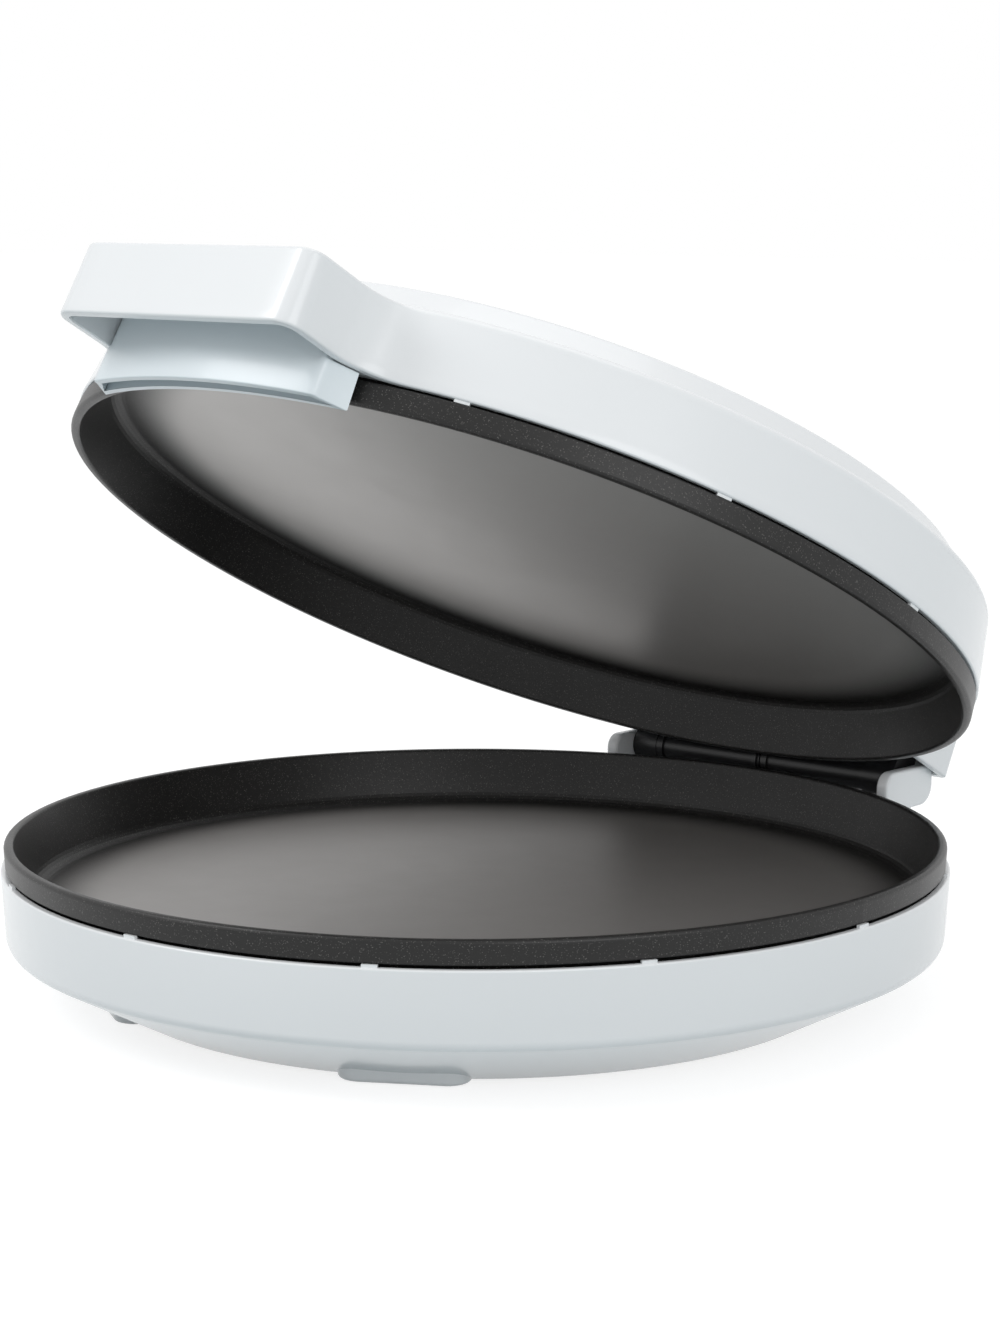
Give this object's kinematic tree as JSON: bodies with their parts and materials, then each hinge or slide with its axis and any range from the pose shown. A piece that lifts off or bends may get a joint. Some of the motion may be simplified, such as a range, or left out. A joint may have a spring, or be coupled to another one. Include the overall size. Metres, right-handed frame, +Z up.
{
  "type": "electric pizza maker",
  "caption": "Round countertop cooker with a non-stick pan in the base, a second in a hinged lid, and a flared front handle.",
  "frame": {"origin": "on the table plane, 1.2 mm under the centre of the housing's flat underside", "axes": "+Z up; -Y towards the handle at the front; X along the hinge axis, +X on the right seen from the handle"},
  "size_m": [0.3282, 0.3632, 0.259],
  "materials": {
    "shell": "gloss",
    "liner": "satin",
    "pan": "non-stick coating with a fine metallic fleck",
    "black": "satin",
    "gland": "matt",
    "rubber": "matt",
    "steel": "plain",
    "element": "plain tube",
    "sheet": "bright sheet",
    "ceramic": "matt",
    "red_lens": "clear red",
    "green_lens": "clear green"
  },
  "bodies": {
    "base": {"base_housing": "shell", "base_pan": "pan", "base_element": "element", "base_reflector": "sheet", "thermostat": "sheet", "thermal_fuse": "ceramic", "terminal_block": "ceramic", "cord_gland": "gland", "hinge_pin_left": "steel", "hinge_pin_right": "steel", "foot_pad_1": "rubber", "foot_pad_2": "rubber", "foot_pad_3": "rubber", "foot_pad_4": "rubber", "base_screw_1": "steel", "base_screw_2": "steel", "base_screw_3": "steel", "base_screw_4": "steel", "base_clip_1": "sheet", "base_clip_2": "sheet", "base_clip_3": "sheet", "base_clip_4": "sheet"},
    "lid": {"lid_housing": "shell", "lid_cap": "shell", "handle_liner": "liner", "lid_pan": "pan", "lid_element": "element", "lid_reflector": "sheet", "hinge_yoke": "black", "wire_guard_left": "black", "wire_guard_right": "black", "power_lens": "red_lens", "ready_lens": "green_lens", "lid_screw_1": "steel", "lid_screw_2": "steel", "lid_screw_3": "steel", "lid_screw_4": "steel", "lid_clip_1": "sheet", "lid_clip_2": "sheet", "lid_clip_3": "sheet", "lid_clip_4": "sheet", "yoke_screw_1": "steel", "yoke_screw_2": "steel"}
  },
  "joints": [
    {"name": "lid_hinge", "type": "hinge", "parent": "base", "child": "lid", "pos_m": [0, 0.1725, 0.0556], "axis": [-1, 0, 0], "range_deg": [-28.5, 71.5]}
  ]
}
